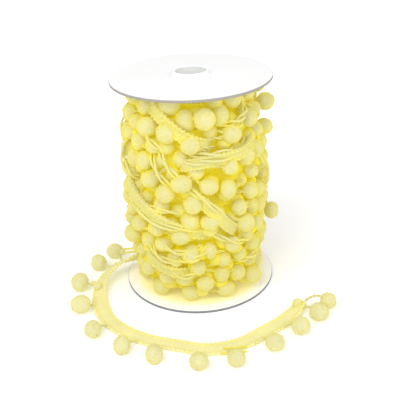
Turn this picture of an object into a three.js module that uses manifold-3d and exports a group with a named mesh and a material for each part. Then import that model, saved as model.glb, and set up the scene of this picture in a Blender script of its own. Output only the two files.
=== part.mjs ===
// Pom pom trim wound on a white spool: a narrow braid that carries pompoms on threads along one edge.
// Its loose end comes off the left side of the pack, sinks to the surface and lies in an arc in front.
// Millimetres, +Z up. The spool is built round its own axis, with the surface that it stands on at z = 0,
// and at the end the whole is moved so that the origin lies below the middle of its box.
import * as THREE from "three";
import { mergeVertices } from "three/addons/utils/BufferGeometryUtils.js";
import Module from "manifold-3d";

const wasm = await Module();
wasm.setup();

// Driving sizes
const GAP = 0.3; // clearance between pieces that touch
const FLANGE_RADIUS = 42;
const FLANGE_THICKNESS = 1.4;
const SPOOL_HEIGHT = 118.7; // from the surface to the top flange's upper face
const BORE_RADIUS = 8;
const NECK_RADIUS = 10.2; // the core's ends, which pass through the flanges
const BARREL_RADIUS = 12; // the core between the flanges
const LIP_RADIUS = 11.2; // the rolled lip over the top flange
const LIP_HEIGHT = 2.6;
const FLANGE_SIDES = 64;
const CORE_SIDES = 32;

const POMPOM_RADIUS = 4.8;
const POMPOM_PITCH = 20; // along the braid
const BRAID_WIDTH = 10;
const BRAID_THICKNESS = 1.6;
const THREAD_RADIUS = 0.5;
const THREAD_STEPS = 4;
const CROSSING_STEPS = 8;
const BALL_APART = 9.9; // least distance between the pack's pompoms
const PUSH_APART = 10.1; // pompoms nearer than this push each other away as they settle
const EDGE_APART = 6; // how near they come to the middle of a turn that crosses the pack
const SETTLING_STEPS = 120;
const SET_RADIUS = 5.1; // a pompom set in the pack, as a ball of 20 faces of about the same size
const SET_DEPTH = 1.5; // how far its centre lies below the pack's surface
const OUT_EVERY = 12; // one settled pompom in so many stands out instead
const OUT_HEIGHT = 2.2; // how far that one's centre lies above the pack's surface

// The pack of wound braid and inner pompoms: its radius at heights above the surface that the spool stands on
const PACK = [
  { z: 0, radius: 32.4 },
  { z: 18, radius: 34.2 },
  { z: 30, radius: 35.9 },
  { z: 55, radius: 36.9 },
  { z: 85, radius: 35.9 },
  { z: 98, radius: 33.9 },
  { z: 110, radius: 31.4 },
  { z: 119, radius: 30.2 },
];
const PACK_BOTTOM = FLANGE_THICKNESS + GAP;
const PACK_TOP = SPOOL_HEIGHT - FLANGE_THICKNESS - GAP;
const LOWEST_POMPOM = PACK_BOTTOM + POMPOM_RADIUS + GAP;
const HIGHEST_POMPOM = PACK_TOP - POMPOM_RADIUS - GAP;
const PACK_SIDES = 24;
const PASSES = 17; // turns that carry the outer pompoms

// Pompoms that stand out in front: degrees from -Y towards +X, height, and distance from the axis
const PROUD = [
  { turn: 9, z: 106.5, radius: 35 },
  { turn: 31, z: 97, radius: 36 },
  { turn: -3, z: 94.5, radius: 37 },
  { turn: -22, z: 99.5, radius: 35 },
  { turn: -41, z: 101, radius: 34 },
  { turn: 55, z: 101, radius: 34 },
  { turn: 88, z: 103, radius: 38 },
  { turn: 92, z: 88, radius: 37.4 },
  { turn: 27, z: 81, radius: 37.5 },
  { turn: 46, z: 83, radius: 35.5 },
  { turn: -44, z: 83.5, radius: 36.5 },
  { turn: -11, z: 74.5, radius: 38 },
  { turn: -39, z: 74, radius: 36 },
  { turn: 10, z: 71.5, radius: 36 },
  { turn: 25, z: 69, radius: 37.5 },
  { turn: 50, z: 63, radius: 36 },
  { turn: -3, z: 63, radius: 37 },
  { turn: 35, z: 57, radius: 37.5 },
  { turn: 9, z: 53, radius: 38.5 },
  { turn: 88, z: 39, radius: 41.5 },
  { turn: -57, z: 45, radius: 36.5 },
  { turn: -36, z: 46.5, radius: 36 },
  { turn: -14, z: 44.5, radius: 37.5 },
  { turn: 28, z: 36.5, radius: 37 },
  { turn: -7, z: 33.5, radius: 36 },
  { turn: 4, z: 14, radius: 34 },
];

// Turns of braid that cross over the pack: where each one starts and ends, and how far its middle stands out
const CROSSINGS = [
  { turn: -45, z: 112, toTurn: 14, toZ: 92, lift: 3.2 },
  { turn: -14, z: 82, toTurn: 66, toZ: 91, lift: 3 },
  { turn: -84, z: 71, toTurn: 8, toZ: 44, lift: 3.4 },
  { turn: -5, z: 69, toTurn: 36, toZ: 42, lift: 3 },
  { turn: -58, z: 27, toTurn: -4, toZ: 21, lift: 3 },
  { turn: 70, z: 60, toTurn: 150, toZ: 38, lift: 2.8 },
  { turn: 100, z: 92, toTurn: 175, toZ: 74, lift: 2.8 },
  { turn: 160, z: 30, toTurn: 235, toZ: 52, lift: 2.8 },
  { turn: 190, z: 100, toTurn: 262, toZ: 78, lift: 2.8 },
  { turn: 205, z: 20, toTurn: 268, toZ: 34, lift: 2.6 },
];

// The loose end: its middle line from the pack to the cut end, the degrees that its pompom edge leans up,
// and its width, which is less where it curls
const TAIL = [
  { x: -35.3, y: 6.2, z: 9.3, lean: -60, width: 9 },
  { x: -41.5, y: 2.6, z: 8.8, lean: -40, width: 9 },
  { x: -46.8, y: 0.6, z: 7.8, lean: -30, width: 9 },
  { x: -51.2, y: -3.8, z: 6.6, lean: -30, width: 8.5 },
  { x: -54.8, y: -9.5, z: 5.2, lean: -28, width: 7.5 },
  { x: -56.6, y: -16.8, z: 3.6, lean: -20, width: 7 },
  { x: -56.5, y: -24.4, z: 1.9, lean: -8, width: 8 },
  { x: -54.3, y: -34.6, z: 0.9, lean: 0, width: 9 },
  { x: -49.3, y: -45.7, z: 0.8, lean: 0, width: 8.5 },
  { x: -40.8, y: -54.9, z: 0.8, lean: 0, width: 8.5 },
  { x: -28, y: -63.6, z: 0.8, lean: 0, width: 8.5 },
  { x: -14.4, y: -68.4, z: 0.8, lean: 0, width: 8.5 },
  { x: -1.4, y: -72.8, z: 0.8, lean: 0, width: 9 },
  { x: 9.1, y: -72.7, z: 0.8, lean: 0, width: 9 },
  { x: 20.5, y: -69, z: 0.8, lean: 0, width: 9 },
  { x: 31.7, y: -61.2, z: 0.8, lean: 0, width: 9 },
  { x: 42.2, y: -53, z: 0.8, lean: 0, width: 9 },
  { x: 50.3, y: -44.6, z: 1.9, lean: 12, width: 8 },
  { x: 53, y: -41.5, z: 4.2, lean: 30, width: 6.5 },
];
const TAIL_STEPS = 48;

// The loose end's pompoms, which rest on the surface: places and sizes, and the rise of each one's thread
const TAIL_POMPOMS = [
  { x: -51.4, y: 20.2, size: 9.2, rise: 0 },
  { x: -59.8, y: 7.2, size: 9.5, rise: 0 },
  { x: -68.4, y: -13.2, size: 10.2, rise: 0 },
  { x: -65.2, y: -35.1, size: 10.5, rise: 0 },
  { x: -56.2, y: -57.2, size: 9.6, rise: 0 },
  { x: -40.4, y: -71.2, size: 9.2, rise: 0 },
  { x: -24.2, y: -79.2, size: 9.2, rise: 0 },
  { x: -2.7, y: -86.2, size: 9.5, rise: 0 },
  { x: 15.2, y: -84.9, size: 9.2, rise: 0 },
  { x: 34.8, y: -74.6, size: 9.2, rise: 0 },
  { x: 49.2, y: -63.2, size: 10.4, rise: 0 },
  { x: 60.5, y: -51.7, size: 9.2, rise: 2 },
  { x: 67, y: -42.4, size: 9.6, rise: 6 },
];
const FLAT_SPOT = 1.2; // radius of the small flat that a pompom rests on
const BALL_SIDES = 8;
const BALL_RINGS = 5;

const YARN = new THREE.MeshStandardMaterial({ color: 0xe9dd78, roughness: 0.95, metalness: 0 });
const BRAID = new THREE.MeshStandardMaterial({ color: 0xece187, roughness: 0.9, metalness: 0 });
const BOARD = new THREE.MeshStandardMaterial({ color: 0xf7f7f5, roughness: 0.6, metalness: 0 });
const PLASTIC = new THREE.MeshStandardMaterial({ color: 0xf4f5f3, roughness: 0.4, metalness: 0 });

// An even run of numbers between 0 and 1 that comes out the same each time
let state = 20873;
function draw() {
  state = (state * 48271) % 2147483647;
  return state / 2147483647;
}

// The pack's radius at a height, straight between the table's rows
function packRadius(z) {
  const i = Math.max(PACK.findIndex((row) => row.z > z), 1);
  const low = PACK[i - 1];
  const high = PACK[i];
  return THREE.MathUtils.mapLinear(z, low.z, high.z, low.radius, high.radius);
}

// A point on the pack, by its angle from -Y towards +X, height and distance from the axis
function packPoint(degrees, z, radius) {
  const angle = THREE.MathUtils.degToRad(degrees);
  return new THREE.Vector3(radius * Math.sin(angle), -radius * Math.cos(angle), z);
}

// A closed surface through rings of points, which meet end to end or are capped
function skin(rings, endless) {
  const count = rings[0].length;
  const last = endless ? rings.length : rings.length - 1;
  const index = [];
  for (let i = 0; i < last; i++) {
    for (let j = 0; j < count; j++) {
      const a = i * count + j;
      const b = i * count + ((j + 1) % count);
      const c = ((i + 1) % rings.length) * count + ((j + 1) % count);
      const d = ((i + 1) % rings.length) * count + j;
      index.push(a, c, b, a, d, c);
    }
  }
  const end = (rings.length - 1) * count;
  for (let j = 1; !endless && j < count - 1; j++) {
    index.push(0, j, j + 1, end, end + j + 1, end + j);
  }
  return new THREE.BufferGeometry().setFromPoints(rings.flat()).setIndex(index);
}

// A geometry as a solid that can be joined
function solid(geometry) {
  const bare = geometry.clone();
  bare.deleteAttribute("normal");
  bare.deleteAttribute("uv");
  const merged = mergeVertices(bare, 1e-4);
  return new wasm.Manifold(
    new wasm.Mesh({
      numProp: 3,
      vertProperties: merged.attributes.position.array,
      triVerts: new Uint32Array(merged.index.array),
    }),
  );
}

// One solid from several geometries that overlap
function fuse(geometries) {
  return geometries.map(solid).reduce((whole, next) => whole.add(next));
}

// A solid as a geometry again
function surface(whole) {
  const mesh = whole.getMesh();
  return new THREE.BufferGeometry()
    .setAttribute("position", new THREE.BufferAttribute(mesh.vertProperties, 3))
    .setIndex(new THREE.BufferAttribute(mesh.triVerts, 1));
}

// A shape turned round the spool's axis from a profile of radius and height
function turned(profile, sides) {
  const points = profile.map(([radius, z]) => new THREE.Vector2(radius, z));
  return new THREE.LatheGeometry(points, sides).rotateX(Math.PI / 2);
}

// A flange: a flat disc with a hole for the core's neck
function flange(z) {
  const hole = NECK_RADIUS + GAP;
  const top = z + FLANGE_THICKNESS;
  const profile = [[hole, z], [FLANGE_RADIUS, z], [FLANGE_RADIUS, top], [hole, top], [hole, z]];
  return turned(profile, FLANGE_SIDES);
}

// The core: a tube whose shoulders carry the flanges, with a rolled lip over the top one
function core() {
  const lipFoot = SPOOL_HEIGHT + GAP;
  const lipTop = SPOOL_HEIGHT + LIP_HEIGHT;
  const bead = 0.7; // the lip's rounding
  return turned([
    [BORE_RADIUS, 0],
    [NECK_RADIUS, 0],
    [NECK_RADIUS, PACK_BOTTOM],
    [BARREL_RADIUS, PACK_BOTTOM],
    [BARREL_RADIUS, PACK_TOP],
    [NECK_RADIUS, PACK_TOP],
    [NECK_RADIUS, lipFoot],
    [LIP_RADIUS, lipFoot],
    [LIP_RADIUS, lipTop - bead],
    [LIP_RADIUS - bead, lipTop],
    [BORE_RADIUS + bead, lipTop],
    [BORE_RADIUS, lipTop - bead],
    [BORE_RADIUS, 0],
  ], CORE_SIDES);
}

// The pack's body: a thick ring round the core's barrel, whose outside follows the pack's table
function woundBody(margin) {
  const inner = BARREL_RADIUS + GAP;
  const heights = [PACK_BOTTOM, ...PACK.slice(1, -1).map((row) => row.z), PACK_TOP];
  const columns = [];
  for (let i = 0; i < PACK_SIDES; i++) {
    const degrees = (360 * i) / PACK_SIDES;
    const outside = heights.map((z) => packPoint(degrees, z, packRadius(z) + margin));
    columns.push([packPoint(degrees, PACK_TOP, inner), packPoint(degrees, PACK_BOTTOM, inner), ...outside]);
  }
  return skin(columns, true);
}

// A turn of braid that crosses the pack: a strip whose ends sink into the body
function crossing({ turn, z, toTurn, toZ, lift }, margin) {
  const sunk = 1.5; // how far the ends lie below the body's surface
  const soft = 0.6; // how far the strip's edges lie below its middle
  const half = BRAID_WIDTH / 2 + margin;
  const rings = [];
  for (let i = 0; i <= CROSSING_STEPS; i++) {
    const share = i / CROSSING_STEPS;
    const degrees = THREE.MathUtils.lerp(turn, toTurn, share);
    const level = THREE.MathUtils.lerp(z, toZ, share);
    const rise = Math.sqrt(Math.sin(Math.PI * share));
    const out = packRadius(level) + (lift + sunk) * rise - sunk + margin;
    const inside = packRadius(level) - sunk - BRAID_THICKNESS;
    rings.push([
      packPoint(degrees, level - half, inside),
      packPoint(degrees, level - half, out - soft),
      packPoint(degrees, level, out),
      packPoint(degrees, level + half, out - soft),
      packPoint(degrees, level + half, inside),
    ]);
  }
  return skin(rings, false);
}

// The loose end's middle line, and the direction across it towards its pompom edge
const tailLine = new THREE.CatmullRomCurve3(TAIL.map(({ x, y, z }) => new THREE.Vector3(x, y, z)));
function tailFrame(share) {
  const middle = tailLine.getPoint(share);
  const along = tailLine.getTangent(share);
  const place = share * (TAIL.length - 1);
  const row = Math.min(Math.floor(place), TAIL.length - 2);
  const between = (column) => THREE.MathUtils.lerp(TAIL[row][column], TAIL[row + 1][column], place - row);
  middle.setZ(between("z"));
  const outward = new THREE.Vector3(along.y, -along.x, 0).normalize();
  const tilt = -THREE.MathUtils.degToRad(between("lean"));
  const across = outward.applyAxisAngle(along.setZ(0).normalize(), tilt);
  const face = new THREE.Vector3().crossVectors(across, along).normalize();
  return { middle, across, face, half: between("width") / 2 };
}

// The loose end: a strip with softened edges that comes off the pack tilted and lies flat in front
function tailBraid() {
  const thick = BRAID_THICKNESS / 2;
  const soft = 0.4;
  const corners = [[-1, -1], [1, -1], [1, 1], [-1, 1]];
  const rings = [];
  for (let i = 0; i <= TAIL_STEPS; i++) {
    const { middle, across, face, half } = tailFrame(i / TAIL_STEPS);
    const point = (u, v) => middle.clone().addScaledVector(across, u).addScaledVector(face, v);
    rings.push(corners.flatMap(([u, v]) => {
      const side = point(u * half, v * (thick - soft));
      const flat = point(u * (half - soft), v * thick);
      return u === v ? [side, flat] : [flat, side];
    }));
  }
  return skin(rings, false);
}

// The point of the loose end's pompom edge that lies nearest to a place
function nearestRoot(place) {
  let best = null;
  for (let i = 0; i <= TAIL_STEPS; i++) {
    const { middle, across, half } = tailFrame(i / TAIL_STEPS);
    const edge = middle.addScaledVector(across, half + THREAD_RADIUS + GAP);
    if (!best || edge.distanceTo(place) < best.distanceTo(place)) best = edge;
  }
  return best;
}

// A ball with a small flat spot on the surface
function restingBall(radius) {
  const height = Math.sqrt(radius ** 2 - FLAT_SPOT ** 2);
  const start = Math.asin(FLAT_SPOT / radius);
  const profile = [[0, 0]];
  for (let i = 0; i < BALL_RINGS; i++) {
    const angle = THREE.MathUtils.lerp(start, Math.PI, i / BALL_RINGS);
    profile.push([radius * Math.sin(angle), height - radius * Math.cos(angle)]);
  }
  profile.push([0, height + radius]);
  return { shape: turned(profile, BALL_SIDES), height };
}

// A thread of four sides along a line
function strand(line, steps) {
  const section = new THREE.Shape([
    new THREE.Vector2(THREAD_RADIUS, 0),
    new THREE.Vector2(0, THREAD_RADIUS),
    new THREE.Vector2(-THREAD_RADIUS, 0),
    new THREE.Vector2(0, -THREAD_RADIUS),
  ]);
  return new THREE.ExtrudeGeometry(section, { steps, extrudePath: line });
}

// One pompom of the loose end with its thread, which starts beside the braid's edge
function tailPompom({ x, y, size, rise }) {
  const { shape, height } = restingBall(size / 2);
  const centre = new THREE.Vector3(x, y, height);
  const root = nearestRoot(centre);
  const bend = root.clone().lerp(centre, 0.5).setZ(Math.max(root.z, height) + rise);
  const line = new THREE.QuadraticBezierCurve3(root, bend, centre);
  return surface(fuse([shape.translate(x, y, 0), strand(line, THREAD_STEPS)]));
}

// Places along a crossing turn that keep the settling pompoms off it
function placesUnder({ turn, z, toTurn, toZ }) {
  return Array.from({ length: CROSSING_STEPS - 1 }, (_, i) => {
    const share = (i + 1) / CROSSING_STEPS;
    const level = THREE.MathUtils.lerp(z, toZ, share);
    const at = packPoint(THREE.MathUtils.lerp(turn, toTurn, share), level, packRadius(level));
    return { at, fixed: true, bare: true };
  });
}

// Where the pack's outer pompoms would lie if the braid were wound evenly, after the ones that stand out
function woundPlaces() {
  const places = PROUD.map(({ turn, z, radius }) => {
    return { at: packPoint(turn, z, radius), fixed: true, proud: true };
  });
  places.push(...CROSSINGS.flatMap(placesUnder));
  for (let pass = 0; pass < PASSES; pass++) {
    const level = THREE.MathUtils.lerp(LOWEST_POMPOM, HIGHEST_POMPOM, (pass + 0.5) / PASSES);
    const count = Math.round((2 * Math.PI * packRadius(level)) / POMPOM_PITCH);
    const lag = 360 * draw();
    for (let k = 0; k < count; k++) {
      const degrees = (360 * (k + 0.5 * draw())) / count + lag;
      const z = level + 5 * (draw() - 0.5);
      places.push({ at: packPoint(degrees, z, packRadius(z) - SET_DEPTH), fixed: false });
    }
  }
  return places;
}

// Moves a place to a height over the pack's surface
function liftTo(at, height) {
  const z = THREE.MathUtils.clamp(at.z, LOWEST_POMPOM, HIGHEST_POMPOM);
  return at.setZ(0).setLength(packRadius(z) + height).setZ(z);
}

// The pompoms' places, pushed apart in small steps until they lie side by side round the pack
function settledPlaces() {
  const places = woundPlaces();
  for (let step = 0; step < SETTLING_STEPS; step++) {
    const pushes = places.map(() => new THREE.Vector3());
    places.forEach((a, i) => places.forEach((b, j) => {
      const way = a.at.clone().sub(b.at);
      const short = (b.bare ? EDGE_APART : PUSH_APART) - way.length();
      if (i !== j && short > 0) pushes[i].addScaledVector(way.normalize(), 0.45 * short);
    }));
    places.forEach(({ at, fixed }, i) => {
      if (!fixed) liftTo(at.add(pushes[i]), -SET_DEPTH);
    });
  }
  const kept = [];
  const free = (at, place) => kept.every((other) => other === place || other.at.distanceTo(at) > BALL_APART);
  for (const place of places.filter(({ bare }) => !bare)) {
    if (free(place.at, place) && clearOfTail(place.at)) kept.push(place);
  }
  kept.filter(({ proud }) => !proud).forEach((place, k) => {
    const at = liftTo(place.at.clone(), OUT_HEIGHT);
    if (k % OUT_EVERY === 0 && free(at, place)) Object.assign(place, { at, proud: true });
  });
  return kept;
}

// Whether a pompom on the pack leaves room for the loose end where it comes off
function clearOfTail(at) {
  for (let i = 0; i <= TAIL_STEPS / 4; i++) {
    const { middle, across, half } = tailFrame(i / TAIL_STEPS);
    const up = THREE.MathUtils.clamp(at.clone().sub(middle).dot(across), -half, half);
    const nearest = middle.addScaledVector(across, up);
    if (nearest.distanceTo(at) < POMPOM_RADIUS + BRAID_THICKNESS / 2 + 2 * GAP) return false;
  }
  return true;
}

// One of the pack's pompoms as a ball of flat faces, turned its own way
function packBall({ at }, radius, detail) {
  const ball = new THREE.IcosahedronGeometry(radius, detail);
  return ball.rotateX(at.x).rotateZ(at.y).translate(at.x, at.y, at.z);
}

// The wound form, grown by a margin: the body, the turns that cross it and the pompoms set in it
function woundForm(places, margin) {
  const inset = 0.8; // a 20-faced ball's least radius as a share of its greatest
  const balls = places.filter(({ proud }) => !proud);
  return fuse([
    woundBody(margin),
    ...CROSSINGS.map((row) => crossing(row, margin)),
    ...balls.map((place) => packBall(place, SET_RADIUS + margin / inset, 0)),
  ]);
}

// A pompom that stands out: a ball cut back where it meets the wound form
function proudPompom(place, room) {
  const parts = solid(packBall(place, POMPOM_RADIUS, 1)).subtract(room).decompose();
  return surface(parts.reduce((largest, next) => (next.volume() > largest.volume() ? next : largest)));
}

// A named mesh of a geometry in a material
function piece(name, geometry, material) {
  geometry.computeVertexNormals();
  const mesh = new THREE.Mesh(geometry, material);
  mesh.name = name;
  return mesh;
}

const spool = new THREE.Group();
spool.add(
  piece("spool_core", core(), PLASTIC),
  piece("bottom_flange", flange(0), BOARD),
  piece("top_flange", flange(SPOOL_HEIGHT - FLANGE_THICKNESS), BOARD),
);

const trim = new THREE.Group();
const places = settledPlaces();
const room = woundForm(places, GAP);
trim.add(piece("wound_trim", surface(woundForm(places, 0)), YARN), piece("tail_braid", tailBraid(), BRAID));
const numbered = (name, i) => name + String(i + 1).padStart(2, "0");
places.filter(({ proud }) => proud).forEach((place, i) => {
  trim.add(piece(numbered("pack_pompom_", i), proudPompom(place, room), YARN));
});
TAIL_POMPOMS.forEach((row, i) => trim.add(piece(numbered("tail_pompom_", i), tailPompom(row), YARN)));

const object = new THREE.Group();
object.add(spool, trim);
const middle = new THREE.Box3().setFromObject(object).getCenter(new THREE.Vector3());
spool.position.set(-middle.x, -middle.y, 0);
trim.position.copy(spool.position);

export default object;
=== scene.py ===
"""Pom pom trim on a white spool: the looks of the braid, the cut-pile pompoms, their threads and the spool.

Shapes are worked out in millimetres round the spool's own axis, with the surface it stands on at z = 0,
and are moved to the frame's place and into metres when their mesh is made.
"""
import math

import bpy
import numpy as np
from mathutils import Matrix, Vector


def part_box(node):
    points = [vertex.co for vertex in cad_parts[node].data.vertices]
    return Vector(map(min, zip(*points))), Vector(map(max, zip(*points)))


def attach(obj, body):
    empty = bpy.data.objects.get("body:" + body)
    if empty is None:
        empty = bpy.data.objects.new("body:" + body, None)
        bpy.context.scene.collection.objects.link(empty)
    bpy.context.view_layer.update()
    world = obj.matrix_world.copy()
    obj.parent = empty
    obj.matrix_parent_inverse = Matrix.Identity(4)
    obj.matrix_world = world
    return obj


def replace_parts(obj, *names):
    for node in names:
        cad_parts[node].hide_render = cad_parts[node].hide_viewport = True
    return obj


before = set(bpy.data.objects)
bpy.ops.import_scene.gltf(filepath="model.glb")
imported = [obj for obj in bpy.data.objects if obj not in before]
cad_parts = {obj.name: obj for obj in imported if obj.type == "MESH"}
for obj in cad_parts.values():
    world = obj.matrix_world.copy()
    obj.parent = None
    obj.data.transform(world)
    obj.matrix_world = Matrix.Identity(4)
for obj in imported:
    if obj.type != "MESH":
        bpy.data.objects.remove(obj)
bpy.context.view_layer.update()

# The spool's places, read from the frame, in millimetres
MM = 0.001
FLANGE_LOW, FLANGE_HIGH = (np.array(corner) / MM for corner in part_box("top_flange"))
CORE_HIGH = np.array(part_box("spool_core")[1]) / MM
AXIS = np.array([*(FLANGE_LOW + FLANGE_HIGH)[:2] / 2, 0])
FLANGE_RADIUS = (FLANGE_HIGH - FLANGE_LOW)[0] / 2
FLANGE_THICKNESS = (FLANGE_HIGH - FLANGE_LOW)[2]
SPOOL_HEIGHT = FLANGE_HIGH[2]
LIP_TOP = CORE_HIGH[2]

# Sizes that the part's source names, in millimetres
GAP = 0.3
BORE_RADIUS = 8
NECK_RADIUS = 10.2
BARREL_RADIUS = 12
LIP_RADIUS = 11.2
POMPOM_RADIUS = 4.8
POMPOM_PITCH = 20
BRAID_WIDTH = 10
BRAID_THICKNESS = 1.6
BALL_APART = 9.9
PUSH_APART = 10.1
EDGE_APART = 6
SETTLING_STEPS = 120
SET_DEPTH = 1.5
OUT_EVERY = 12
OUT_HEIGHT = 2.2
PUSH_SHARE = 0.45
PASSES = 17
ROW_SCATTER = 5
CROSSING_STEPS = 8
TAIL_STEPS = 48
PACK_BOTTOM = FLANGE_THICKNESS + GAP
PACK_TOP = SPOOL_HEIGHT - FLANGE_THICKNESS - GAP
LOWEST_POMPOM = PACK_BOTTOM + POMPOM_RADIUS + GAP
HIGHEST_POMPOM = PACK_TOP - POMPOM_RADIUS - GAP

# The pack of wound braid and inner pompoms: rows of height and radius
PACK = np.array([
    (0, 32.4),
    (18, 34.2),
    (30, 35.9),
    (55, 36.9),
    (85, 35.9),
    (98, 33.9),
    (110, 31.4),
    (119, 30.2),
])

# Pompoms that stand out in front: degrees from -Y towards +X, height, distance from the axis
PROUD = np.array([
    (9, 106.5, 35),
    (31, 97, 36),
    (-3, 94.5, 37),
    (-22, 99.5, 35),
    (-41, 101, 34),
    (55, 101, 34),
    (88, 103, 38),
    (92, 88, 37.4),
    (27, 81, 37.5),
    (46, 83, 35.5),
    (-44, 83.5, 36.5),
    (-11, 74.5, 38),
    (-39, 74, 36),
    (10, 71.5, 36),
    (25, 69, 37.5),
    (50, 63, 36),
    (-3, 63, 37),
    (35, 57, 37.5),
    (9, 53, 38.5),
    (88, 39, 41.5),
    (-57, 45, 36.5),
    (-36, 46.5, 36),
    (-14, 44.5, 37.5),
    (28, 36.5, 37),
    (-7, 33.5, 36),
    (4, 14, 34),
])

# Turns of braid that cross over the pack: degrees and height at each end, and how far the middle stands out
CROSSINGS = np.array([
    (-45, 112, 14, 92, 3.2),
    (-14, 82, 66, 91, 3),
    (-84, 71, 8, 44, 3.4),
    (-5, 69, 36, 42, 3),
    (-58, 27, -4, 21, 3),
    (70, 60, 150, 38, 2.8),
    (100, 92, 175, 74, 2.8),
    (160, 30, 235, 52, 2.8),
    (190, 100, 262, 78, 2.8),
    (205, 20, 268, 34, 2.6),
])

# The loose end's middle line: x, y, z, the degrees that its pompom edge leans up, and its width
TAIL = np.array([
    (-35.3, 6.2, 9.3, -60, 9),
    (-41.5, 2.6, 8.8, -40, 9),
    (-46.8, 0.6, 7.8, -30, 9),
    (-51.2, -3.8, 6.6, -30, 8.5),
    (-54.8, -9.5, 5.2, -28, 7.5),
    (-56.6, -16.8, 3.6, -20, 7),
    (-56.5, -24.4, 1.9, -8, 8),
    (-54.3, -34.6, 0.9, 0, 9),
    (-49.3, -45.7, 0.8, 0, 8.5),
    (-40.8, -54.9, 0.8, 0, 8.5),
    (-28, -63.6, 0.8, 0, 8.5),
    (-14.4, -68.4, 0.8, 0, 8.5),
    (-1.4, -72.8, 0.8, 0, 9),
    (9.1, -72.7, 0.8, 0, 9),
    (20.5, -69, 0.8, 0, 9),
    (31.7, -61.2, 0.8, 0, 9),
    (42.2, -53, 0.8, 0, 9),
    (50.3, -44.6, 1.9, 12, 8),
    (53, -41.5, 4.2, 30, 6.5),
])

# The loose end's pompoms: x, y, size, and the rise of each one's thread
TAIL_POMPOMS = np.array([
    (-51.4, 20.2, 9.2, 0),
    (-59.8, 7.2, 9.5, 0),
    (-68.4, -13.2, 10.2, 0),
    (-65.2, -35.1, 10.5, 0),
    (-56.2, -57.2, 9.6, 0),
    (-40.4, -71.2, 9.2, 0),
    (-24.2, -79.2, 9.2, 0),
    (-2.7, -86.2, 9.5, 0),
    (15.2, -84.9, 9.2, 0),
    (34.8, -74.6, 9.2, 0),
    (49.2, -63.2, 10.4, 0),
    (60.5, -51.7, 9.2, 2),
    (67, -42.4, 9.6, 6),
])
FLAT_SPOT = 1.2
NOTHING_NEAR = (np.array([[0, 0, -1000.0]]), np.array([1.0]))  # a far-off ball, for yarn with none beside it

# Small knots and curls of yarn on the loose end: x, y, z and size
KNOTS = np.array([
    (-46.2, 15.5, 6.6, 3.2),
    (-57.9, -18.4, 5, 4.6),
    (-60.4, -14.6, 4.6, 3),
    (50.8, -42.2, 3.6, 5.6),
    (53.6, -43.6, 2.6, 4),
])

# Single cords beside the loose end: start, bend and stop, each as x, y, z
LOOSE_CORDS = np.array([
    [(-51, 20.2, 5.2), (-42, 19, 7), (-32, 18, 6.4)],
    [(-45.2, 10, 8.6), (-39, 12, 9.4), (-31, 10, 7.6)],
    [(8.2, -77.2, 1), (14.5, -77.8, 1.6), (21, -76.4, 1)],
    [(9.6, -74.2, 1.8), (15.5, -75, 2.2), (21, -73.8, 1.8)],
])

# Doubled cords over the pack: degrees and height at each end, how far the middle stands out and sags
CORDS = np.array([
    (-10, 85.2, 50, 90.2, 3.6, 1),
    (-4, 88.4, 38, 88.6, 3.2, -1),
    (-38, 88, -14, 69.5, 3.2, 1),
    (-30, 90, -7, 72, 3, -1),
    (-70, 60.2, 6, 47.6, 4.4, 1.5),
    (-58, 64, -12, 58, 3.2, 1),
    (-9, 73, 27, 48.8, 4, -3),
    (-46, 36, -12, 29.6, 4, 2),
    (-18, 30.8, 8, 37.2, 4, 2),
    (-36, 39, 2, 37, 3.2, 2),
    (24, 101.4, 54, 108.6, 4.2, 1),
    (22, 98.6, 50, 105.6, 4, 1),
    (9, 46.2, 50, 35, 3.2, 2),
    (-46, 102, -22, 90, 3, 1),
    (62, 84, 70, 58, 5, 1),
    (-74, 92, -60, 70, 4, 1),
    (34, 24, 66, 30, 3.4, 2),
    (-30, 20, 4, 24, 3.4, 2),
    (92, 70, 128, 58, 3.6, 1),
    (100, 28, 140, 40, 3.6, 2),
    (150, 84, 190, 96, 3.6, 2),
    (196, 60, 232, 44, 3.6, 1),
    (-118, 100, -84, 84, 3.6, 1),
    (-112, 34, -76, 46, 3.6, 2),
    (120, 108, 158, 100, 3.2, 2),
])
CORD_STEPS = 64

# The camera, worked out from both flanges' outlines in the photograph
CAMERA_BACK = 343.6  # from the spool's axis towards -Y
CAMERA_HEIGHT = 218.6
CAMERA_DOWN = math.radians(26.585)
CAMERA_LEFT = math.radians(-0.301)
CAMERA_ROLL = math.radians(-2.641)
CAMERA_LENS = 61.97  # mm, on a 36 mm sensor

# The setting: places and sizes in metres from the object's middle, and the lamps' power in watts
KEY_LIGHT = ((-0.35, -0.5, 0.75), 0.6, 4.0)
FILL_LIGHT = ((0.6, -0.4, 0.5), 0.7, 2.0)
LIGHT_AIM = (0, 0, 0.06)
SURROUNDINGS = 0.66
FLOOR_HALF = 3.0
FLOOR_DROP = 0.00005
# Painted light: the floor glows, fainter near the object and stronger away from it
FLOOR_GLOW = (0.17, 0.45)  # near the object and far from it
FLOOR_GLOW_REACH = (0.08, 0.3)

# Pompoms: lengths in millimetres, and shares of a radius
BALL_GRID = (20, 32)  # rows and columns of points
INNER_GRID = (11, 16)  # the same on pompoms that hardly show
PILE_GROWTH = 1.03  # a pompom's pile stands a little proud of its solid
SIZE_SHARES = (0.9, 1.08)
OVAL_SHARES = (0.84, 1.08)
BIG_LUMPS = (0.055, 5)  # height as a share of the radius, and width
SMALL_LUMPS = (0.03, 1.9)
PRESS_FIRMNESS = 0.55  # how far a ball gives way where another presses into it
CREVICE_REACH = 1.5  # how far from another ball the shade still shows
CREVICE_DEPTH = 9  # how deep in the pack the shade is full
FIBRES = 220  # loose fibre ends on each pompom
LOOSE_FIBRES = 700  # the same on the loose end
KNOT_FIBRES = 40
FIBRE_RADIUS = 0.085
FIBRE_LENGTHS = (0.35, 0.95)
FIBRE_SUNK = 0.15
FIBRE_LEAN = 0.55
FIBRE_FACES = np.array([(0, 1, 3), (1, 2, 3), (2, 0, 3), (0, 2, 1)])
BANDS = 3  # pieces that the pompoms set in the pack are shared among, by height
INNER_POMPOMS = 210
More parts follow.
